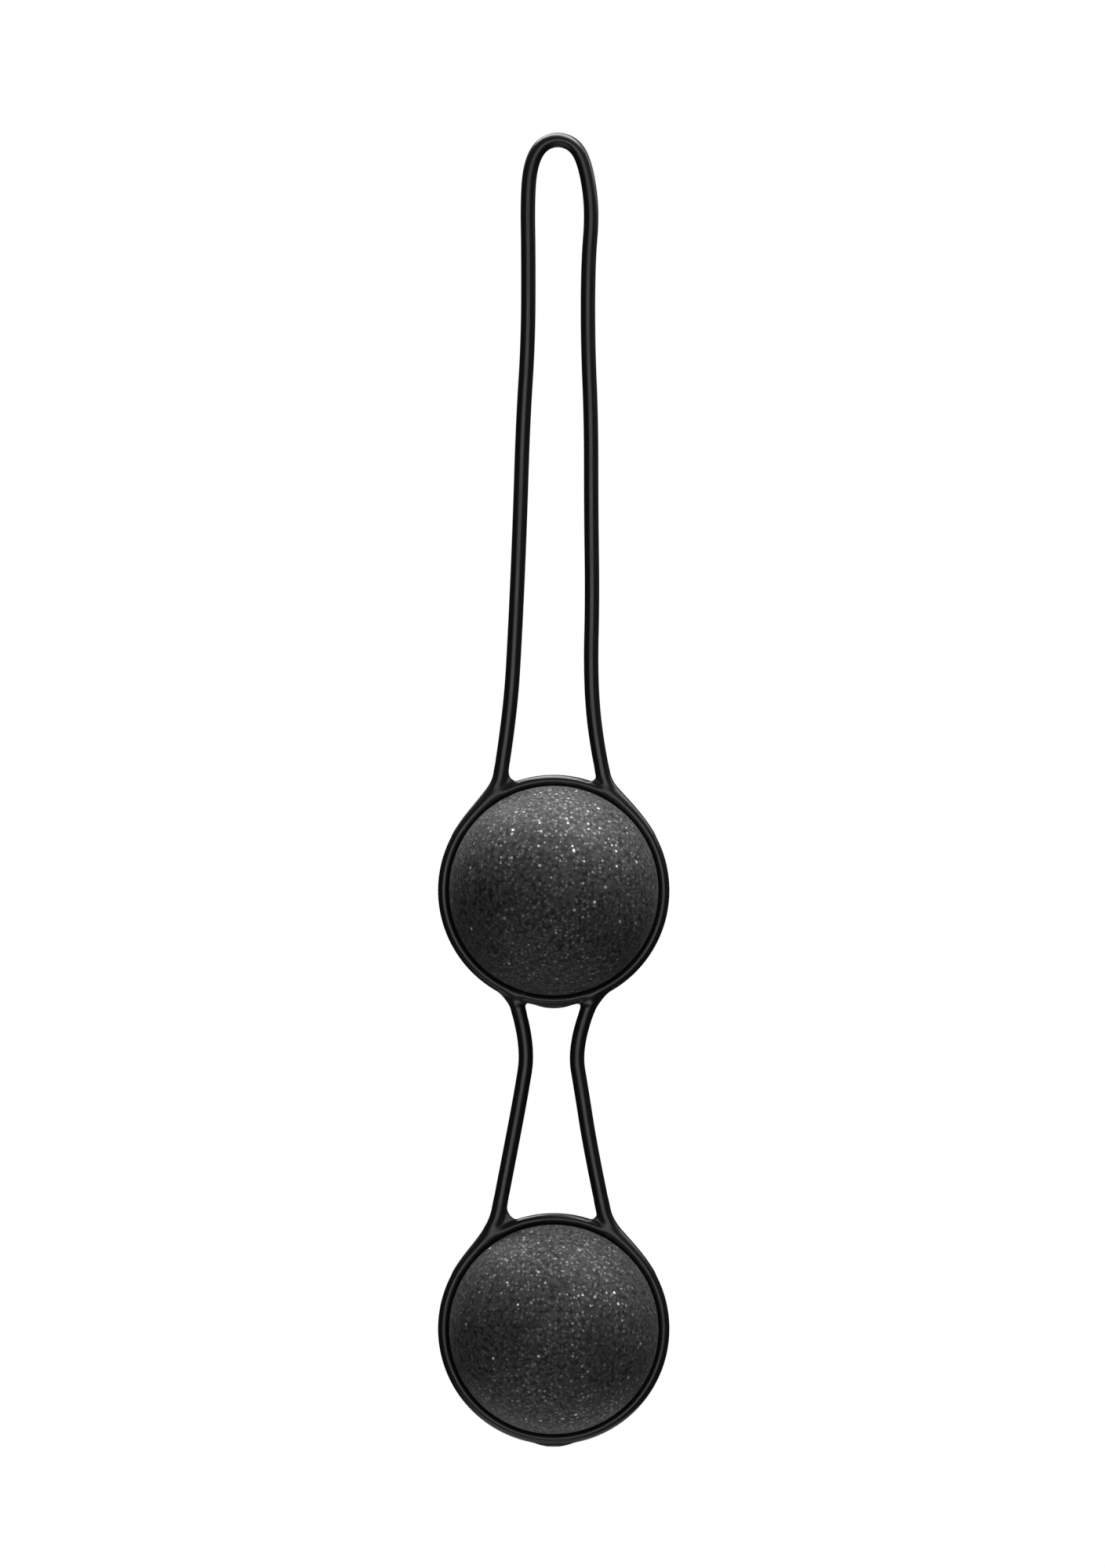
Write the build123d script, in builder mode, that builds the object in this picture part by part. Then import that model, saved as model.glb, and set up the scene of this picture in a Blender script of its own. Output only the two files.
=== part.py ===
from build123d import *
import math
import os

# A pair of weighted exercise balls in a one-piece silicone harness, hanging from its retrieval loop.
# Millimetres, +Z up, the front towards -Y. The origin is inside the tip of the loop, where it hangs.

# Harness: a round strand, and a round ring that seats in a groove around each ball.
STRAND_DIAMETER = 2.4
RING_OUTER_DIAMETER = 38.0
RING_SECTION_DIAMETER = 2.6
UPPER_CENTRE_Z = -122.1
BALL_PITCH = 72.0

# The web in the corner between a strand and its ring, and the gate pad under each ring.
WEB_THICKNESS = 1.7
PAD_HALF_WIDTH = 3.2
PAD_HEIGHT = 0.33
PAD_THICKNESS = 1.8

# Each ball: two shells joined on the plane of the ring, around a loose steel ball.
BALL_DIAMETER = 34.5
CAVITY_DIAMETER = 28.0
GROOVE_CLEARANCE = 0.075
GROOVE_EDGE_RADIUS = 0.35
LIP_THICKNESS = 0.9
LIP_HEIGHT = 0.8
LIP_CLEARANCE = 0.05
WEIGHT_DIAMETER = 17.0
WEIGHT_CLEARANCE = 0.1

# Worked out from the sizes above.
LOWER_CENTRE_Z = UPPER_CENTRE_Z - BALL_PITCH
STRAND_RADIUS = STRAND_DIAMETER / 2
RING_OUTER_RADIUS = RING_OUTER_DIAMETER / 2
RING_SECTION_RADIUS = RING_SECTION_DIAMETER / 2
RING_CENTRE_RADIUS = RING_OUTER_RADIUS - RING_SECTION_RADIUS
GROOVE_SECTION_RADIUS = RING_SECTION_RADIUS + GROOVE_CLEARANCE
BALL_RADIUS = BALL_DIAMETER / 2
CAVITY_RADIUS = CAVITY_DIAMETER / 2
WEIGHT_RADIUS = WEIGHT_DIAMETER / 2
WEIGHT_DROP = CAVITY_RADIUS - WEIGHT_RADIUS - WEIGHT_CLEARANCE

# Centrelines in the plane of the harness, as (x, z). Limp strands laid by hand aren't quite straight.
LOOP_ROUTE = [
    (-8.4, -101.0),
    (-7.1, -92.5),
    (-6.35, -80.0),
    (-5.6, -63.0),
    (-5.05, -45.0),
    (-4.2, -32.0),
    (-4.15, -18.0),
    (-4.3, -9.0),
    (-3.9, -3.2),
    (-2.3, 0.3),
    (0.65, 1.5),
    (3.7, 0.3),
    (5.35, -3.4),
    (6.35, -10.5),
    (5.65, -19.0),
    (5.6, -32.0),
    (6.15, -45.0),
    (6.15, -60.0),
    (6.35, -74.0),
    (6.05, -86.0),
    (6.65, -95.5),
    (7.7, -101.0),
]
LEFT_LINK_ROUTE = [(-5.4, -143.3), (-4.2, -148.2), (-5.3, -155.2), (-6.95, -164.0), (-8.5, -172.0)]
RIGHT_LINK_ROUTE = [(5.0, -143.3), (3.4, -148.2), (4.6, -155.2), (5.95, -164.0), (7.6, -172.0)]

# An arm carries each strand on, in line at first, and ends on its ring's own centreline.
TOP_ARM_REACH = 3.4
BOTTOM_ARM_REACH = 2.2
ARM_BEND = (11.5, 14.3)
TOP_ARM_END = (15.4, 8.7)
BOTTOM_ARM_END = (7.2, -16.1)

# The corners that the webs fill, between a strand and the ring's outside, as (x, z) from the ring's centre.
TOP_WEB = [(5.8, 17.5), (7.1, 18.5), (8.2, 20.4), (10.4, 15.4), (8.0, 15.8)]
BOTTOM_WEB = [(4.2, -17.3), (5.2, -19.4), (5.9, -20.6), (7.3, -18.8), (9.2, -16.2), (6.0, -16.0)]


def in_plane(route):
    """The points of a route, in the plane of the harness."""
    return [Vector(x, 0, z) for x, z in route]


def arc_radii(points):
    """For each corner of a route, the arc that takes up 0.45 of its shorter run."""
    radii = []
    for before, corner, after in zip(points, points[1:], points[2:]):
        turn = math.radians((corner - before).get_angle(after - corner))
        shorter = min((corner - before).length, (after - corner).length)
        radii.append(0.45 * shorter / math.tan(turn / 2))
    return radii


def strand(route, label):
    """A round strand: straight runs joined by tangent arcs."""
    points = in_plane(route)
    with BuildPart() as tube:
        with BuildLine():
            path = FilletPolyline(*points, radius=arc_radii(points))
        with BuildSketch(Plane(origin=path @ 0, z_dir=path % 0)):
            Circle(STRAND_RADIUS)
        sweep()
    fullness = tube.part.volume / (math.pi * STRAND_RADIUS**2 * path.length)
    print(label, "length", round(path.length, 1), "volume over section times length", round(fullness, 4))
    print(label, "radii", [round(radius, 1) for radius in arc_radii(points)])
    tube.part.label = label
    return tube.part


def arm(before, end, reach, *rest):
    """An arm's route: from a strand's end, on in line by reach, and then through the rest of its points."""
    direction = Vector(*end) - Vector(*before)
    onward = Vector(*end) + direction.normalized() * reach
    return [end, (onward.X, onward.Y), *rest]


def top_arm(before, end, centre_z):
    """The arm from a strand's lower end down round a ring's shoulder."""
    side = math.copysign(1, end[0])
    rest = [(side * x, centre_z + z) for x, z in (ARM_BEND, TOP_ARM_END)]
    return arm(before, end, TOP_ARM_REACH, *rest)


def bottom_arm(before, end, centre_z):
    """The arm from a strand's upper end up into the bottom of a ring."""
    side = math.copysign(1, end[0])
    x, z = BOTTOM_ARM_END
    return arm(before, end, BOTTOM_ARM_REACH, (side * x, centre_z + z))


def ring(centre_z, arms, webs, label):
    """A seat ring, with the arms that its strands grow out of, their webs and the pad below."""
    centre = Vector(0, 0, centre_z)
    seen_from_front = Plane(origin=centre, x_dir=(1, 0, 0), z_dir=(0, -1, 0))
    drop = RING_OUTER_RADIUS + PAD_HEIGHT
    rise = drop - math.sqrt(RING_OUTER_RADIUS**2 - PAD_HALF_WIDTH**2)
    pad_radius = (PAD_HALF_WIDTH**2 + rise**2) / (2 * rise)
    with BuildPart() as seat:
        with BuildSketch(Plane.XY.offset(centre_z)):
            with Locations((RING_CENTRE_RADIUS, 0)):
                Circle(RING_SECTION_RADIUS)
        revolve(axis=Axis(centre, (0, 1, 0)))
        for route in arms:
            points = in_plane(route)
            with BuildLine():
                path = FilletPolyline(*points, radius=arc_radii(points))
            with BuildSketch(Plane(origin=path @ 0, z_dir=path % 0)):
                Circle(STRAND_RADIUS)
            sweep()
        with BuildSketch(Plane.XZ):
            for corners in webs:
                for side in (-1, 1):
                    Polygon(*[(side * x, centre_z + z) for x, z in corners], align=None)
        extrude(amount=WEB_THICKNESS / 2, both=True)
        with BuildSketch(seen_from_front):
            with Locations((0, pad_radius - drop)):
                Circle(pad_radius)
            Circle(RING_CENTRE_RADIUS, mode=Mode.SUBTRACT)
        extrude(amount=PAD_THICKNESS / 2, both=True)
    seat.part.label = label
    return seat.part


def shell(centre_z, side, label):
    """Half of a ball: side is -1 for the front shell, whose lip goes into the rear one, and 1 for the rear."""
    lip_reach = CAVITY_RADIUS + LIP_THICKNESS
    with BuildPart() as half:
        with BuildSketch(Plane.XY.offset(centre_z)) as section:
            Circle(BALL_RADIUS)
            with Locations((RING_CENTRE_RADIUS, 0)):
                Circle(GROOVE_SECTION_RADIUS, mode=Mode.SUBTRACT)
            with Locations((0, side * BALL_RADIUS)):
                Rectangle(2 * BALL_RADIUS, 2 * BALL_RADIUS, mode=Mode.INTERSECT)
            with Locations((BALL_RADIUS, 0)):
                Rectangle(2 * BALL_RADIUS, 2 * BALL_RADIUS, mode=Mode.INTERSECT)
            corners = [v for v in section.vertices() if v.X > CAVITY_RADIUS]
            fillet([v for v in corners if abs(v.Y) > GROOVE_SECTION_RADIUS / 2], GROOVE_EDGE_RADIUS)
            if side < 0:
                Rectangle(lip_reach, LIP_HEIGHT, align=Align.MIN)
            else:
                socket = (lip_reach + LIP_CLEARANCE, LIP_HEIGHT + LIP_CLEARANCE)
                Rectangle(*socket, align=Align.MIN, mode=Mode.SUBTRACT)
            Circle(CAVITY_RADIUS, mode=Mode.SUBTRACT)
        revolve(axis=Axis((0, 0, centre_z), (0, 1, 0)))
    half.part.label = label
    return half.part


def weight(centre_z, label):
    """The loose steel ball, at rest at the bottom of the cavity."""
    with BuildPart(Plane.XY.offset(centre_z - WEIGHT_DROP)) as ball:
        Sphere(WEIGHT_RADIUS)
    ball.part.label = label
    return ball.part


upper_arms = [
    top_arm(LOOP_ROUTE[1], LOOP_ROUTE[0], UPPER_CENTRE_Z),
    top_arm(LOOP_ROUTE[-2], LOOP_ROUTE[-1], UPPER_CENTRE_Z),
]
lower_arms = []
for route in (LEFT_LINK_ROUTE, RIGHT_LINK_ROUTE):
    upper_arms.append(bottom_arm(route[1], route[0], UPPER_CENTRE_Z))
    lower_arms.append(top_arm(route[-2], route[-1], LOWER_CENTRE_Z))

parts = [
    strand(LOOP_ROUTE, "retrieval_loop"),
    ring(UPPER_CENTRE_Z, upper_arms, [TOP_WEB, BOTTOM_WEB], "upper_ring"),
    strand(LEFT_LINK_ROUTE, "left_link_strand"),
    strand(RIGHT_LINK_ROUTE, "right_link_strand"),
    ring(LOWER_CENTRE_Z, lower_arms, [TOP_WEB], "lower_ring"),
]
for place, centre_z in (("upper", UPPER_CENTRE_Z), ("lower", LOWER_CENTRE_Z)):
    parts.append(shell(centre_z, -1, place + "_front_shell"))
    parts.append(shell(centre_z, 1, place + "_rear_shell"))
    parts.append(weight(centre_z, place + "_steel_weight"))

os.makedirs("parts", exist_ok=True)
for part in parts:
    export_step(part, "parts/" + part.label + ".step")
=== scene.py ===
import math

import bpy
import numpy as np
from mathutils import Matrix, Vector


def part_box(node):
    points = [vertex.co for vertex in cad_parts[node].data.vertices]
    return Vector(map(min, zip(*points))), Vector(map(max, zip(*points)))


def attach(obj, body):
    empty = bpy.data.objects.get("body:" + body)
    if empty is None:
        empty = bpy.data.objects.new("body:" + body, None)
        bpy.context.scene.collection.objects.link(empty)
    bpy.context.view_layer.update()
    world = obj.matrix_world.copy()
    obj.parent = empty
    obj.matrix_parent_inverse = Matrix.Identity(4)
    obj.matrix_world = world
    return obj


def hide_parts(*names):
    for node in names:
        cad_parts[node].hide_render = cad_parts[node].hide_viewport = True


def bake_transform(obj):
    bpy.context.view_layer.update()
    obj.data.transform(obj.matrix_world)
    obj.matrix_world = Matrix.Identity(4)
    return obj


# A pair of weighted exercise balls in a one-piece silicone harness, hanging from its loop.
# Metres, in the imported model's frame: +Z up, the front towards -Y, the harness in the plane y = 0.

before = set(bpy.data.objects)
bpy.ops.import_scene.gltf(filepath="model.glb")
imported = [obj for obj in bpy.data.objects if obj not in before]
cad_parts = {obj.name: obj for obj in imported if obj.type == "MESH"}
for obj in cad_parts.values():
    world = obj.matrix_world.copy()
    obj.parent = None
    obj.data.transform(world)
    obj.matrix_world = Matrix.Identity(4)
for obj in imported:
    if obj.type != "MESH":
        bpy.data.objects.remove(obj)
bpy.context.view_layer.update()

MM = 0.001

# ---------------------------------------------------------------- sizes

# Harness sizes, as in part.py.
STRAND_RADIUS = 1.2 * MM
RING_OUTER_RADIUS = 19.0 * MM
RING_INNER_RADIUS = 16.4 * MM

# The strands' centrelines, as (x, z): part.py's routes in metres. The loop's length is along its curve.
LOOP_ROUTE = [
    (-0.0084, -0.1010),
    (-0.0071, -0.0925),
    (-0.00635, -0.0800),
    (-0.0056, -0.0630),
    (-0.00505, -0.0450),
    (-0.0042, -0.0320),
    (-0.00415, -0.0180),
    (-0.0043, -0.0090),
    (-0.0039, -0.0032),
    (-0.0023, 0.0003),
    (0.00065, 0.0015),
    (0.0037, 0.0003),
    (0.00535, -0.0034),
    (0.00635, -0.0105),
    (0.00565, -0.0190),
    (0.0056, -0.0320),
    (0.00615, -0.0450),
    (0.00615, -0.0600),
    (0.00635, -0.0740),
    (0.00605, -0.0860),
    (0.00665, -0.0955),
    (0.0077, -0.1010),
]
LEFT_LINK_ROUTE = [
    (-0.0054, -0.1433),
    (-0.0042, -0.1482),
    (-0.0053, -0.1552),
    (-0.00695, -0.1640),
    (-0.0085, -0.1720),
]
RIGHT_LINK_ROUTE = [
    (0.0050, -0.1433),
    (0.0034, -0.1482),
    (0.0046, -0.1552),
    (0.00595, -0.1640),
    (0.0076, -0.1720),
]

# The ring's section: an oval bead on a thinner stem that sits in the ball's groove.
BEAD_HALF_WIDTH = 0.95 * MM
BEAD_HALF_THICKNESS = 1.15 * MM
BEAD_RADIUS = RING_OUTER_RADIUS - BEAD_HALF_WIDTH
STEM_HALF_THICKNESS = 0.6 * MM
STEM_BLEND = 0.5 * MM

# An arm carries a strand on down round its ring's shoulder. Its points are (x, z) from the ring's
# centre.
ARM_TURN_HEIGHT = 17.2 * MM
ARM_SHOULDER = (12.3 * MM, 13.5 * MM)
ARM_END = (15.6 * MM, 9.1 * MM)

# A foot carries a strand on up into the bottom of its ring.
FOOT_TURN_HEIGHT = -18.1 * MM
FOOT_END = (7.8 * MM, -16.3 * MM)

# An arm or foot starts inside its strand, swells a little, and thins out over the last part of
# its length.
ARM_OVERLAP = 1.0 * MM
ARM_FLARE = 2.5 * MM
ARM_START_RADIUS = 1.15 * MM
ARM_FULL_RADIUS = 1.23 * MM
ARM_END_RADIUS = 0.55 * MM
ARM_THINS_FROM = 0.45
ARM_BLEND = 0.9 * MM

# The thin webs in the corners, as (x, z) in millimetres from the ring's centre, one on each side.
WEB_HALF_THICKNESS = 0.72 * MM
WEB_BLEND = 0.45 * MM
TOP_WEB = [(5.8, 17.5), (7.1, 18.5), (8.2, 20.4), (10.4, 15.4), (8.0, 15.8)]
BOTTOM_WEB = [(4.2, -17.3), (5.2, -19.4), (5.9, -20.6), (7.3, -18.8), (9.2, -16.2), (6.0, -16.0)]

# The gate pad under each ring is a lens. Its circle's radius follows from its width and its drop.
PAD_HALF_WIDTH = 3.2 * MM
PAD_DROP = 0.33 * MM
PAD_HALF_THICKNESS = 0.75 * MM
PAD_BLEND = 0.15 * MM
PAD_REACH = RING_OUTER_RADIUS + PAD_DROP
PAD_RISE = PAD_REACH - math.sqrt(RING_OUTER_RADIUS**2 - PAD_HALF_WIDTH**2)
PAD_RADIUS = (PAD_HALF_WIDTH**2 + PAD_RISE**2) / (2 * PAD_RISE)

# Mesh fineness: the points along a strand's line and round it, then the grid that a cradle's surface
# is found on, and the small steps that bring its vertices exactly onto the surface.
LINE_RESOLUTION = 16
TUBE_SIDES = 28
CELL = 0.18 * MM
GRID_MARGIN = 3 * CELL
PROJECTION_STEPS = 4
PROBE = 0.01 * MM
LEAST_SQUARED_SLOPE = 0.1
SHARP_ANGLE = math.radians(50)

# The camera is level with the middle of the object, straight in front of it.
CAMERA_PLACE = (-0.0002, -1.2, -0.1046)
CAMERA_LENS = 167.7
CAMERA_SENSOR = 36

# The floor is far enough below the hanging object to leave the view from underneath free.
FLOOR_RADIUS = 3.0
FLOOR_HEIGHT = -2.0
FLOOR_SIDES = 96
FLOOR_GLOW = 0.92

# The white surround, as the camera sees it and as it lights the object.
SURROUND_SEEN = 1.0
SURROUND_LIGHT = 0.02

# Each soft box: its name, its place, the point it faces, its width and height, and its watts.
BALLS_MIDDLE = (0, 0, -0.15)
BOTTOM = (0, 0, -0.21)
SOFT_BOXES = [
    ("top_box", (0.04, 0.065, 0.50), BALLS_MIDDLE, 1.1, 0.40, 9.0),
    ("right_box", (0.30, 0.08, 0.12), BALLS_MIDDLE, 0.18, 0.18, 0.2),
    ("front_box", (-0.05, -1.3, -0.10), BALLS_MIDDLE, 1.2, 0.5, 2.5),
    ("back_box", (-0.5, 0.7, 0.4), BALLS_MIDDLE, 0.4, 0.4, 0.4),
    ("low_box", (0.0, 0.03, -0.29), BOTTOM, 0.16, 0.16, 0.04),
    ("under_box", (-0.25, -0.45, -0.80), BALLS_MIDDLE, 0.9, 0.3, 0.55),
]


def make_camera():
    """The camera, looking along +Y."""
    data = bpy.data.cameras.new("camera")
    data.sensor_width = CAMERA_SENSOR
    data.lens = CAMERA_LENS
    camera = bpy.data.objects.new("camera", data)
    camera.location = CAMERA_PLACE
    camera.rotation_euler = (math.pi / 2, 0, 0)
    bpy.context.scene.collection.objects.link(camera)
    bpy.context.scene.camera = camera


# ---------------------------------------------------------------- materials

def feed(tree, socket, value):
    """Gives a socket a value, or another node's output."""
    if isinstance(value, bpy.types.NodeSocket):
        tree.links.new(value, socket)
    else:
        socket.default_value = value


def add(tree, kind, inputs=(), **settings):
    """A node with its settings; each input is (socket, value or another node's output)."""
    node = tree.nodes.new(kind)
    for name, value in settings.items():
        setattr(node, name, value)
    for socket, value in inputs:
        feed(tree, node.inputs[socket], value)
    return node


def calculate(tree, operation, *values):
    """The output of a Math node."""
    return add(tree, "ShaderNodeMath", enumerate(values), operation=operation).outputs[0]


def remap(tree, value, old, new):
    """The old range of value, (low, high), becomes the new one."""
    inputs = enumerate((value, *old, *new))
    return add(tree, "ShaderNodeMapRange", inputs).outputs[0]


def mix_colour(tree, share, first, second):
    """A mix of two colours, which are the Mix node's sockets 6 and 7. Its colour output is 2."""
    inputs = ((0, share), (6, first), (7, second))
    return add(tree, "ShaderNodeMix", inputs, data_type="RGBA").outputs[2]


def grey(value):
    """An opaque neutral colour."""
    return (value, value, value, 1)


def noise(tree, coords, size, detail=3.0):
    """Noise whose features are about size metres across."""
    inputs = (("Vector", coords), ("Scale", 1 / size), ("Detail", detail))
    return add(tree, "ShaderNodeTexNoise", inputs).outputs["Fac"]


def bump(tree, height, strength, distance):
    """The normal of a surface with this height."""
    inputs = (("Strength", strength), ("Distance", distance), ("Height", height))
    return add(tree, "ShaderNodeBump", inputs).outputs[0]


def flakes(tree, coords, size, share, radius, softness=0.25):
    """Round flakes in random cells of the given size: a mask, and a random colour for each flake.
    radius is in cells; share is how many of the cells hold a flake."""
    inputs = (("Vector", coords), ("Scale", 1 / size))
    cells = add(tree, "ShaderNodeTexVoronoi", inputs)
    near = remap(tree, cells.outputs["Distance"], (radius * (1 - softness), radius), (1, 0))
    red = add(tree, "ShaderNodeSeparateColor", ((0, cells.outputs["Color"]),)).outputs[0]
    chosen = calculate(tree, "LESS_THAN", red, share)
    return calculate(tree, "MULTIPLY", near, chosen), cells.outputs["Color"]


def combine(tree, operation, *vectors):
    """The output of a Vector Math node."""
    return add(tree, "ShaderNodeVectorMath", enumerate(vectors), operation=operation).outputs[0]


def lean(tree, normal, mask, colour, amount):
    """The normal, tilted a random way in each flake."""
    centred = combine(tree, "SUBTRACT", colour, (0.5, 0.5, 0.5))
    inputs = ((0, centred), ("Scale", calculate(tree, "MULTIPLY", mask, amount)))
    scaled = add(tree, "ShaderNodeVectorMath", inputs, operation="SCALE").outputs[0]
    return combine(tree, "NORMALIZE", combine(tree, "ADD", normal, scaled))


def begin_material(name):
    """A material with an empty tree, its Principled shader and its object coordinates."""
    material = bpy.data.materials.new(name)
    material.use_nodes = True
    tree = material.node_tree
    tree.nodes.clear()
    shader = add(tree, "ShaderNodeBsdfPrincipled")
    add(tree, "ShaderNodeOutputMaterial", (("Surface", shader.outputs[0]),))
    coords = add(tree, "ShaderNodeTexCoord").outputs["Object"]
    return material, tree, shader, coords


def finish_material(tree, shader, **sockets):
    """Fills the shader's sockets; an underscore stands for a space in a socket's name."""
    for name, value in sockets.items():
        feed(tree, shader.inputs[name.replace("_", " ")], value)


def make_silicone():
    """Satin black silicone: fine mottling, patches that are a little duller, a moulded grain."""
    material, tree, shader, coords = begin_material("black_silicone")
    mottle = noise(tree, coords, size=0.6 * MM)
    patches = noise(tree, coords, size=7 * MM, detail=2.0)
    grain = noise(tree, coords, size=0.16 * MM, detail=2.0)
    finish_material(
        tree,
        shader,
        Base_Color=mix_colour(tree, mottle, grey(0.006), grey(0.014)),
        Roughness=remap(tree, patches, (0.3, 0.7), (0.26, 0.34)),
        Normal=bump(tree, grain, strength=0.25, distance=0.02 * MM),
        Specular_IOR_Level=0.8,
    )
    return material


def make_speckled_plastic():
    """Matt charcoal plastic: a cloudy powder, metallic dust and glitter, and a few bright chips."""
    material, tree, shader, coords = begin_material("speckled_plastic")
    powder = noise(tree, coords, size=0.75 * MM, detail=2.0)
    clouds = noise(tree, coords, size=6 * MM)
    dust, dust_tilt = flakes(tree, coords, size=0.6 * MM, share=0.9, radius=0.5, softness=0.6)
    glitter, glitter_tilt = flakes(tree, coords, size=0.9 * MM, share=0.65, radius=0.34, softness=0.6)
    chips, chip_tilt = flakes(tree, coords, size=3.0 * MM, share=0.8, radius=0.1)

    base = mix_colour(tree, remap(tree, powder, (0.35, 0.65), (0, 1)), grey(0.012), grey(0.10))
    base = mix_colour(tree, remap(tree, clouds, (0.3, 0.7), (0, 0.3)), base, grey(0.075))
    metallic = 0
    normal = bump(tree, powder, strength=0.5, distance=0.08 * MM)

    # For each kind of flake: where it is, which way it tilts, how pale and metallic it is, how far it tilts.
    for mask, tilt, paleness, metal, amount in (
        (dust, dust_tilt, 0.17, 0.5, 0.7),
        (glitter, glitter_tilt, 0.35, 0.7, 0.9),
        (chips, chip_tilt, 0.9, 0.5, 1.2),
    ):
        base = mix_colour(tree, mask, base, grey(paleness))
        metallic = calculate(tree, "MAXIMUM", metallic, calculate(tree, "MULTIPLY", mask, metal))
        normal = lean(tree, normal, mask, tilt, amount)

    finish_material(
        tree,
        shader,
        Base_Color=base,
        Metallic=metallic,
        Roughness=remap(tree, metallic, (0, 0.7), (0.6, 0.38)),
        Normal=normal,
        Specular_IOR_Level=0.3,
        Sheen_Weight=0.06,
        Sheen_Roughness=0.3,
    )
    return material


def make_steel():
    """Ground steel ball: fine scratches and faint stains."""
    material, tree, shader, coords = begin_material("ground_steel")
    stretched = add(tree, "ShaderNodeMapping", (("Vector", coords), ("Scale", (1, 1, 12))))
    scratches = noise(tree, stretched.outputs[0], size=0.5 * MM, detail=4.0)
    stains = noise(tree, coords, size=4 * MM)
    finish_material(
        tree,
        shader,
        Base_Color=mix_colour(tree, stains, (0.50, 0.50, 0.51, 1), (0.62, 0.61, 0.60, 1)),
        Roughness=remap(tree, scratches, (0.3, 0.7), (0.18, 0.34)),
        Normal=bump(tree, scratches, strength=0.2, distance=0.01 * MM),
        Metallic=1,
    )
    return material


# ---------------------------------------------------------------- meshes

def new_piece(name, vertices, faces, material):
    """A smooth-shaded mesh object."""
    mesh = bpy.data.meshes.new(name)
    mesh.from_pydata(vertices, [], faces)
    mesh.validate()
    mesh.polygons.foreach_set("use_smooth", np.ones(len(mesh.polygons), bool))
    mesh.set_sharp_from_angle(angle=SHARP_ANGLE)
    mesh.materials.append(material)
    piece = bpy.data.objects.new(name, mesh)
    bpy.context.scene.collection.objects.link(piece)
    return piece


def smooth_line(route):
    """The points of a smooth line in the harness's plane: a NURBS spline controlled by a route."""
    curve = bpy.data.curves.new("route", "CURVE")
    curve.dimensions = "3D"
    curve.resolution_u = LINE_RESOLUTION
    spline = curve.splines.new("NURBS")
    spline.points.add(len(route) - 1)
    for point, (x, z) in zip(spline.points, route):
        point.co = (x, 0, z, 1)
    spline.order_u = 3
    spline.use_endpoint_u = True
    holder = bpy.data.objects.new("route", curve)
    mesh = bpy.data.meshes.new_from_object(holder)
    points = np.array([vertex.co for vertex in mesh.vertices])
    bpy.data.objects.remove(holder)
    bpy.data.meshes.remove(mesh)
    bpy.data.curves.remove(curve)
    return points


def make_tube(name, centres, material):
    """A round silicone strand along a line in the plane y = 0, closed at both ends."""
    along = np.gradient(centres, axis=0)
    along /= np.linalg.norm(along, axis=1)[:, None]
    across = np.stack([-along[:, 2], np.zeros(len(along)), along[:, 0]], axis=1)
    turn = np.linspace(0, 2 * math.pi, TUBE_SIDES, endpoint=False)
    outward = np.cos(turn)[None, :, None] * across[:, None, :]
    outward = outward + np.sin(turn)[None, :, None] * np.array([0, 1, 0])
    rings = centres[:, None, :] + STRAND_RADIUS * outward
    faces = []
    for i in range(len(centres) - 1):
        start, following = i * TUBE_SIDES, (i + 1) * TUBE_SIDES
        for j in range(TUBE_SIDES):
            k = (j + 1) % TUBE_SIDES
            faces.append((start + j, following + j, following + k, start + k))
    last = (len(centres) - 1) * TUBE_SIDES
    faces.append(tuple(range(TUBE_SIDES)))
    faces.append(tuple(last + j for j in reversed(range(TUBE_SIDES))))
    return new_piece(name, rings.reshape(-1, 3), faces, material)


def smooth_union(first, second, width):
    """Two distance fields joined with a fillet about width across."""
    share = np.clip(0.5 + 0.5 * (second - first) / width, 0, 1)
    return second + (first - second) * share - width * share * (1 - share)


def line_distance(x, z, line):
    """How far each (x, z) is from a line of points, and how far along the line it is nearest."""
    nearest = np.full(x.shape, np.inf)
    place = np.zeros(x.shape)
    travelled = 0.0
    for (ax, az), (bx, bz) in zip(line[:-1], line[1:]):
        run_x, run_z = bx - ax, bz - az
        squared = run_x**2 + run_z**2
        share = np.clip(((x - ax) * run_x + (z - az) * run_z) / squared, 0, 1)
        distance = np.hypot(x - ax - share * run_x, z - az - share * run_z)
        closer = distance < nearest
        nearest = np.where(closer, distance, nearest)
        place = np.where(closer, travelled + share * math.sqrt(squared), place)
        travelled += math.sqrt(squared)
    return nearest, place


def polygon_distance(x, z, corners):
    """Signed distance from each (x, z) to a polygon, less than 0 inside."""
    closed = list(corners) + [corners[0]]
    nearest, _ = line_distance(x, z, closed)
    inside = np.zeros(x.shape, bool)
    for (ax, az), (bx, bz) in zip(closed[:-1], closed[1:]):
        crosses = (az > z) != (bz > z)
        if az != bz:
            inside = inside ^ (crosses & (x < ax + (z - az) * (bx - ax) / (bz - az)))
    return np.where(inside, -nearest, nearest)


def plate_distance(outline, y, half_thickness):
    """An outline's distance field made into a plate with rounded edges."""
    outside = np.hypot(np.maximum(outline, 0), np.maximum(np.abs(y) - half_thickness, 0))
    return outside + np.minimum(np.maximum(outline, np.abs(y) - half_thickness), 0)


def ring_distance(radius, y):
    """The ring: its bead, on its stem."""
    squeezed = y * BEAD_HALF_WIDTH / BEAD_HALF_THICKNESS
    bead = np.hypot(radius - BEAD_RADIUS, squeezed) - BEAD_HALF_WIDTH
    stem_place = np.clip(radius, RING_INNER_RADIUS + STEM_HALF_THICKNESS, BEAD_RADIUS)
    stem = np.hypot(radius - stem_place, y) - STEM_HALF_THICKNESS
    return smooth_union(bead, stem, STEM_BLEND)


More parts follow.
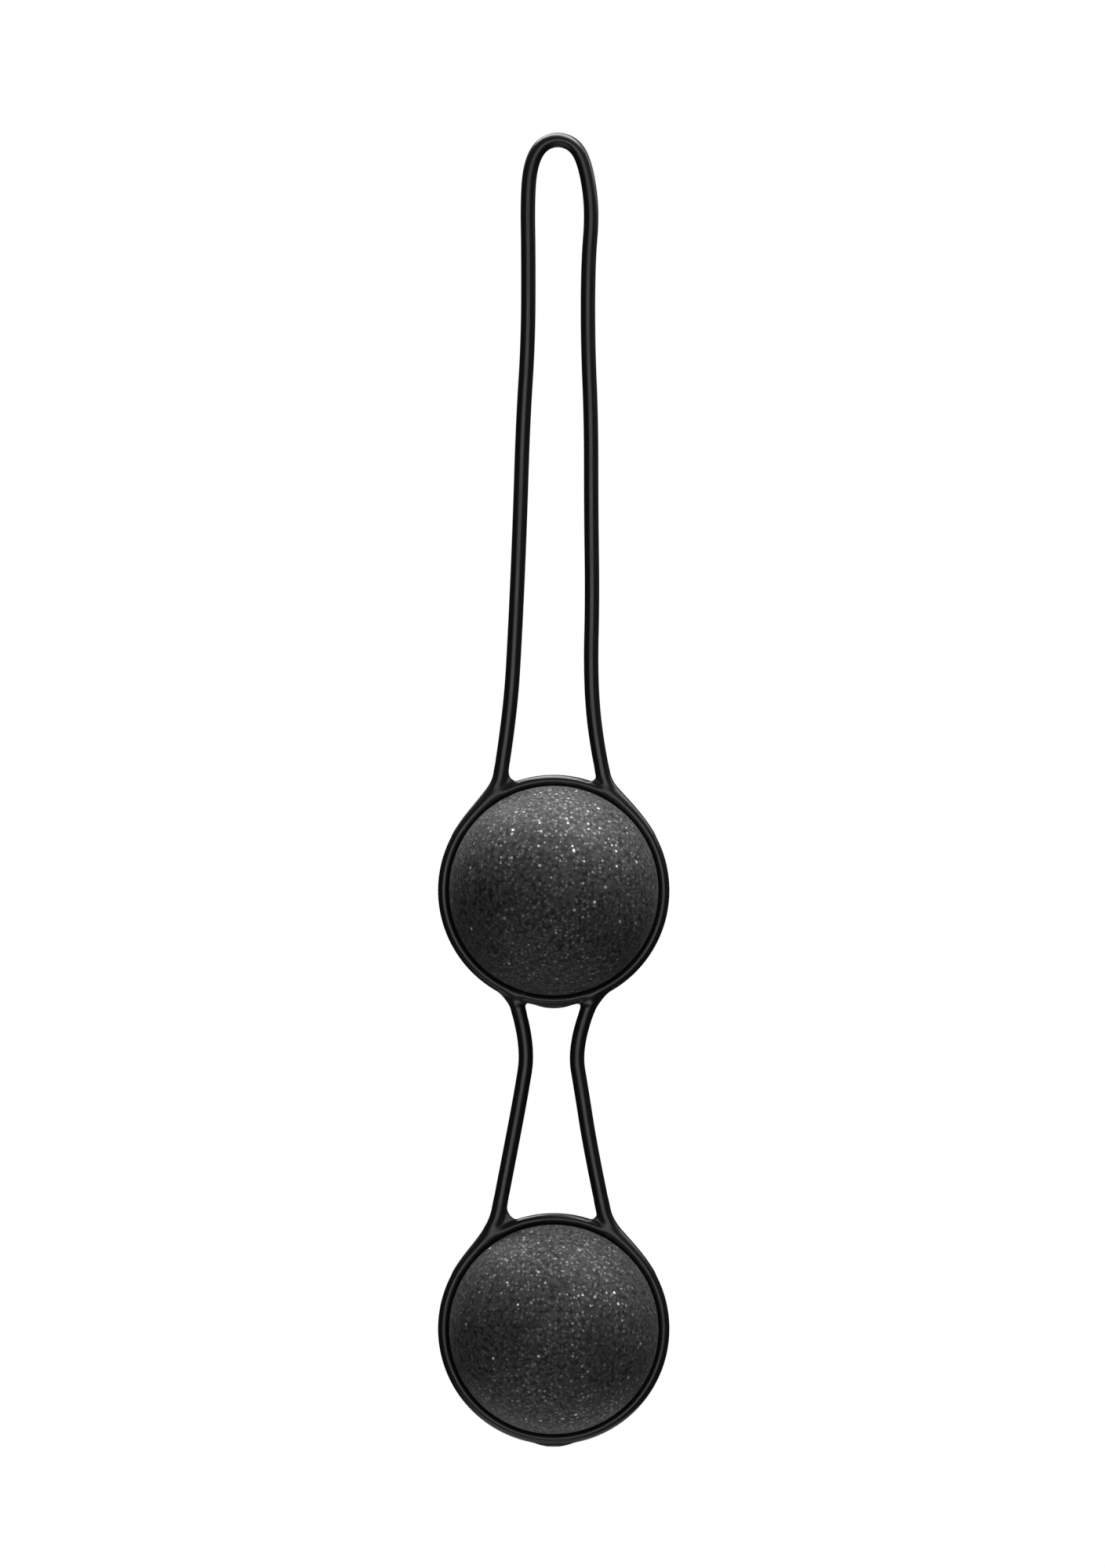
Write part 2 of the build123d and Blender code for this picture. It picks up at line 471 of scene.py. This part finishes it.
def arm_distance(x, y, z, line):
    """One arm or foot, along its line."""
    away, place = line_distance(x, z, line)
    length = np.sum(np.hypot(*np.diff(np.array(line), axis=0).T))
    swollen = np.clip(place / ARM_FLARE, 0, 1)
    thinned = np.clip((place - ARM_THINS_FROM * length) / ((1 - ARM_THINS_FROM) * length), 0, 1)
    radius = ARM_START_RADIUS + (ARM_FULL_RADIUS - ARM_START_RADIUS) * swollen
    radius = radius + (ARM_END_RADIUS - ARM_FULL_RADIUS) * thinned
    return np.hypot(away, y) - radius


def cradle_distance(x, y, z, arms, webs):
    """One cradle, in metres from its ring's centre: the ring with its arms, webs and pad."""
    radius = np.hypot(x, z)
    body = ring_distance(radius, y)
    for line in arms:
        body = smooth_union(body, arm_distance(x, y, z, line), ARM_BLEND)
    for web in webs:
        for side in (-1, 1):
            outline = polygon_distance(x, z, [(side * cx * MM, cz * MM) for cx, cz in web])
            body = smooth_union(body, plate_distance(outline, y, WEB_HALF_THICKNESS), WEB_BLEND)
    below = np.hypot(x, z + PAD_REACH - PAD_RADIUS) - PAD_RADIUS
    lens = np.maximum(below, BEAD_RADIUS - radius)
    return smooth_union(body, plate_distance(lens, y, PAD_HALF_THICKNESS), PAD_BLEND)


def surface_net(values, low):
    """The surface where a grid of values crosses 0: a vertex in each cell it crosses, and quads."""
    inside = values < 0
    corners = [(i, j, k) for i in (0, 1) for j in (0, 1) for k in (0, 1)]
    size = np.array(values.shape) - 1

    def at(grid, offset):
        i, j, k = offset
        return grid[i:i + size[0], j:j + size[1], k:k + size[2]]

    held = sum(at(inside, corner).astype(int) for corner in corners)
    active = (held > 0) & (held < len(corners))
    index = np.full(active.shape, -1)
    index[active] = np.arange(active.sum())

    # Each vertex is the mean of the places where its cell's edges cross the surface.
    total = np.zeros((active.sum(), 3))
    count = np.zeros(active.sum())
    for corner in corners:
        for axis in range(3):
            if corner[axis]:
                continue
            beyond = tuple(1 if n == axis else corner[n] for n in range(3))
            first, second = at(values, corner)[active], at(values, beyond)[active]
            crossed = (first < 0) != (second < 0)
            gap = np.where(crossed, first - second, 1)
            point = np.tile(np.array(corner, float), (len(first), 1))
            point[:, axis] += first / gap
            total[crossed] += point[crossed]
            count[crossed] += 1
    vertices = np.array(low) + CELL * (np.argwhere(active) + total / count[:, None])

    # Each grid edge that crosses the surface gives a quad between the four cells round it.
    faces = []
    for axis in range(3):
        u, v = (axis + 1) % 3, (axis + 2) % 3
        span = [slice(None)] * 3
        span[axis] = slice(0, size[axis])
        span[u] = slice(1, size[u])
        span[v] = slice(1, size[v])
        here = inside[tuple(span)]
        shifted = list(span)
        shifted[axis] = slice(1, size[axis] + 1)
        there = inside[tuple(shifted)]
        for flipped, crossing in ((False, here & ~there), (True, there & ~here)):
            edges = np.argwhere(crossing)
            edges[:, u] += 1
            edges[:, v] += 1
            around = []
            for du, dv in ((-1, -1), (0, -1), (0, 0), (-1, 0)):
                cell = edges.copy()
                cell[:, u] += du
                cell[:, v] += dv
                around.append(index[tuple(cell.T)])
            quads = np.stack(around, axis=1)
            faces.append(quads[:, ::-1] if flipped else quads)
    return vertices, np.concatenate(faces)


def project(field, points):
    """Moves points onto the surface where a field is 0, along its slope."""
    for _ in range(PROJECTION_STEPS):
        value = field(*points.T)
        slope = np.zeros_like(points)
        for axis in range(3):
            beside = points.copy()
            beside[:, axis] += PROBE
            slope[:, axis] = (field(*beside.T) - value) / PROBE
        squared = np.maximum(np.sum(slope**2, axis=1), LEAST_SQUARED_SLOPE)
        move = slope * (value / squared)[:, None]
        points = points - np.clip(move, -CELL / 2, CELL / 2)
    return points


def ball_centre(place):
    """The centre of the upper or lower ball, from its two shells."""
    low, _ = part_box(place + "_front_shell")
    _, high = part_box(place + "_rear_shell")
    return (low + high) / 2


def arm_line(route, centre, turn_height, rest):
    """An arm's line from a strand's end: on in line to turn_height, then by its other points."""
    before, end = (np.array([x - centre.x, z - centre.z]) for x, z in (route[-2], route[-1]))
    direction = (end - before) / np.linalg.norm(end - before)
    start = end - ARM_OVERLAP * direction
    onward = end + direction * (turn_height - end[1]) / direction[1]
    side = math.copysign(1, end[0])
    points = [tuple(start), tuple(end), tuple(onward)] + [(side * x, z) for x, z in rest]
    return [(x, z) for x, _, z in smooth_line(points)]


def make_cradle(name, centre, top_routes, bottom_routes, material):
    """The ring round a ball with its arms, feet, webs and pad, as one smooth moulding.
    Each route ends at the cradle."""
    arms = []
    for route in top_routes:
        arms.append(arm_line(route, centre, ARM_TURN_HEIGHT, [ARM_SHOULDER, ARM_END]))
    for route in bottom_routes:
        arms.append(arm_line(route, centre, FOOT_TURN_HEIGHT, [FOOT_END]))
    webs = [TOP_WEB, BOTTOM_WEB] if bottom_routes else [TOP_WEB]

    def field(x, y, z):
        return cradle_distance(x, y, z, arms, webs)

    heights = [z for line in arms for _, z in line]
    top = max(heights) + ARM_FULL_RADIUS
    bottom = min(-PAD_REACH, min(heights) - ARM_FULL_RADIUS)
    half = np.array([RING_OUTER_RADIUS, BEAD_HALF_THICKNESS, 0])
    low = -half + (0, 0, bottom) - GRID_MARGIN
    high = half + (0, 0, top) + GRID_MARGIN
    x, y, z = (np.arange(a, b, CELL) for a, b in zip(low, high))
    values = field(x[:, None, None], y[None, :, None], z[None, None, :])
    vertices, faces = surface_net(values, low)
    vertices = project(field, vertices) + np.array(centre)
    return new_piece(name, vertices, faces.tolist(), material)


# ---------------------------------------------------------------- stage

def make_light(name, location, target, width, height, power):
    """A soft box that faces target and isn't itself seen."""
    data = bpy.data.lights.new(name, "AREA")
    data.shape = "RECTANGLE"
    data.size, data.size_y = width, height
    data.energy = power
    light = bpy.data.objects.new(name, data)
    light.location = location
    direction = Vector(target) - Vector(location)
    light.rotation_euler = direction.to_track_quat("-Z", "Y").to_euler()
    light.visible_camera = False
    bpy.context.scene.collection.objects.link(light)


def make_floor():
    """A pale round floor that doesn't light the object."""
    turn = np.linspace(0, 2 * math.pi, FLOOR_SIDES, endpoint=False)
    rim = [(FLOOR_RADIUS * math.cos(t), FLOOR_RADIUS * math.sin(t), FLOOR_HEIGHT) for t in turn]
    mesh = bpy.data.meshes.new("floor")
    mesh.from_pydata(rim, [], [tuple(range(len(rim)))])
    floor = bpy.data.objects.new("floor", mesh)
    floor.visible_diffuse = floor.visible_glossy = False
    bpy.context.scene.collection.objects.link(floor)
    paper = bpy.data.materials.new("pale_paper")
    paper.use_nodes = True
    shader = paper.node_tree.nodes["Principled BSDF"]
    shader.inputs["Base Color"].default_value = grey(0.2)
    shader.inputs["Roughness"].default_value = 0.9
    shader.inputs["Emission Color"].default_value = grey(1.0)
    shader.inputs["Emission Strength"].default_value = FLOOR_GLOW
    mesh.materials.append(paper)


def make_surround():
    """A white world that lights the object only dimly."""
    world = bpy.data.worlds.new("surround")
    bpy.context.scene.world = world
    world.use_nodes = True
    tree = world.node_tree
    tree.nodes.clear()
    seen = add(tree, "ShaderNodeBackground", ((0, grey(1.0)), (1, SURROUND_SEEN)))
    lit = add(tree, "ShaderNodeBackground", ((0, grey(1.0)), (1, SURROUND_LIGHT)))
    path = add(tree, "ShaderNodeLightPath")
    inputs = ((0, path.outputs["Is Camera Ray"]), (1, lit.outputs[0]), (2, seen.outputs[0]))
    mixed = add(tree, "ShaderNodeMixShader", inputs)
    add(tree, "ShaderNodeOutputWorld", (("Surface", mixed.outputs[0]),))


# ---------------------------------------------------------------- the object

make_camera()
silicone = make_silicone()
plastic = make_speckled_plastic()
steel = make_steel()

loop_line = smooth_line(LOOP_ROUTE)
loop = make_tube("retrieval_loop_strand", loop_line, silicone)
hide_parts("retrieval_loop")
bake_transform(loop)

for name, route in (("left_link", LEFT_LINK_ROUTE), ("right_link", RIGHT_LINK_ROUTE)):
    link = make_tube(name, smooth_line(route), silicone)
    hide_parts(name + "_strand")
    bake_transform(link)

loop_ends = [LOOP_ROUTE[::-1], LOOP_ROUTE]
links_up = [LEFT_LINK_ROUTE[::-1], RIGHT_LINK_ROUTE[::-1]]
links_down = [LEFT_LINK_ROUTE, RIGHT_LINK_ROUTE]
for place, above, below in (("upper", loop_ends, links_up), ("lower", links_down, [])):
    cradle = make_cradle(place + "_cradle_moulding", ball_centre(place), above, below, silicone)
    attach(cradle, place + "_cradle")
    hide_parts(place + "_ring")

for place in ("upper", "lower"):
    for part, material in (("front_shell", plastic), ("rear_shell", plastic), ("steel_weight", steel)):
        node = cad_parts[place + "_" + part]
        node.data.materials.clear()
        node.data.materials.append(material)

make_floor()
make_surround()
for box in SOFT_BOXES:
    make_light(*box)
bpy.context.scene.view_settings.view_transform = "Standard"
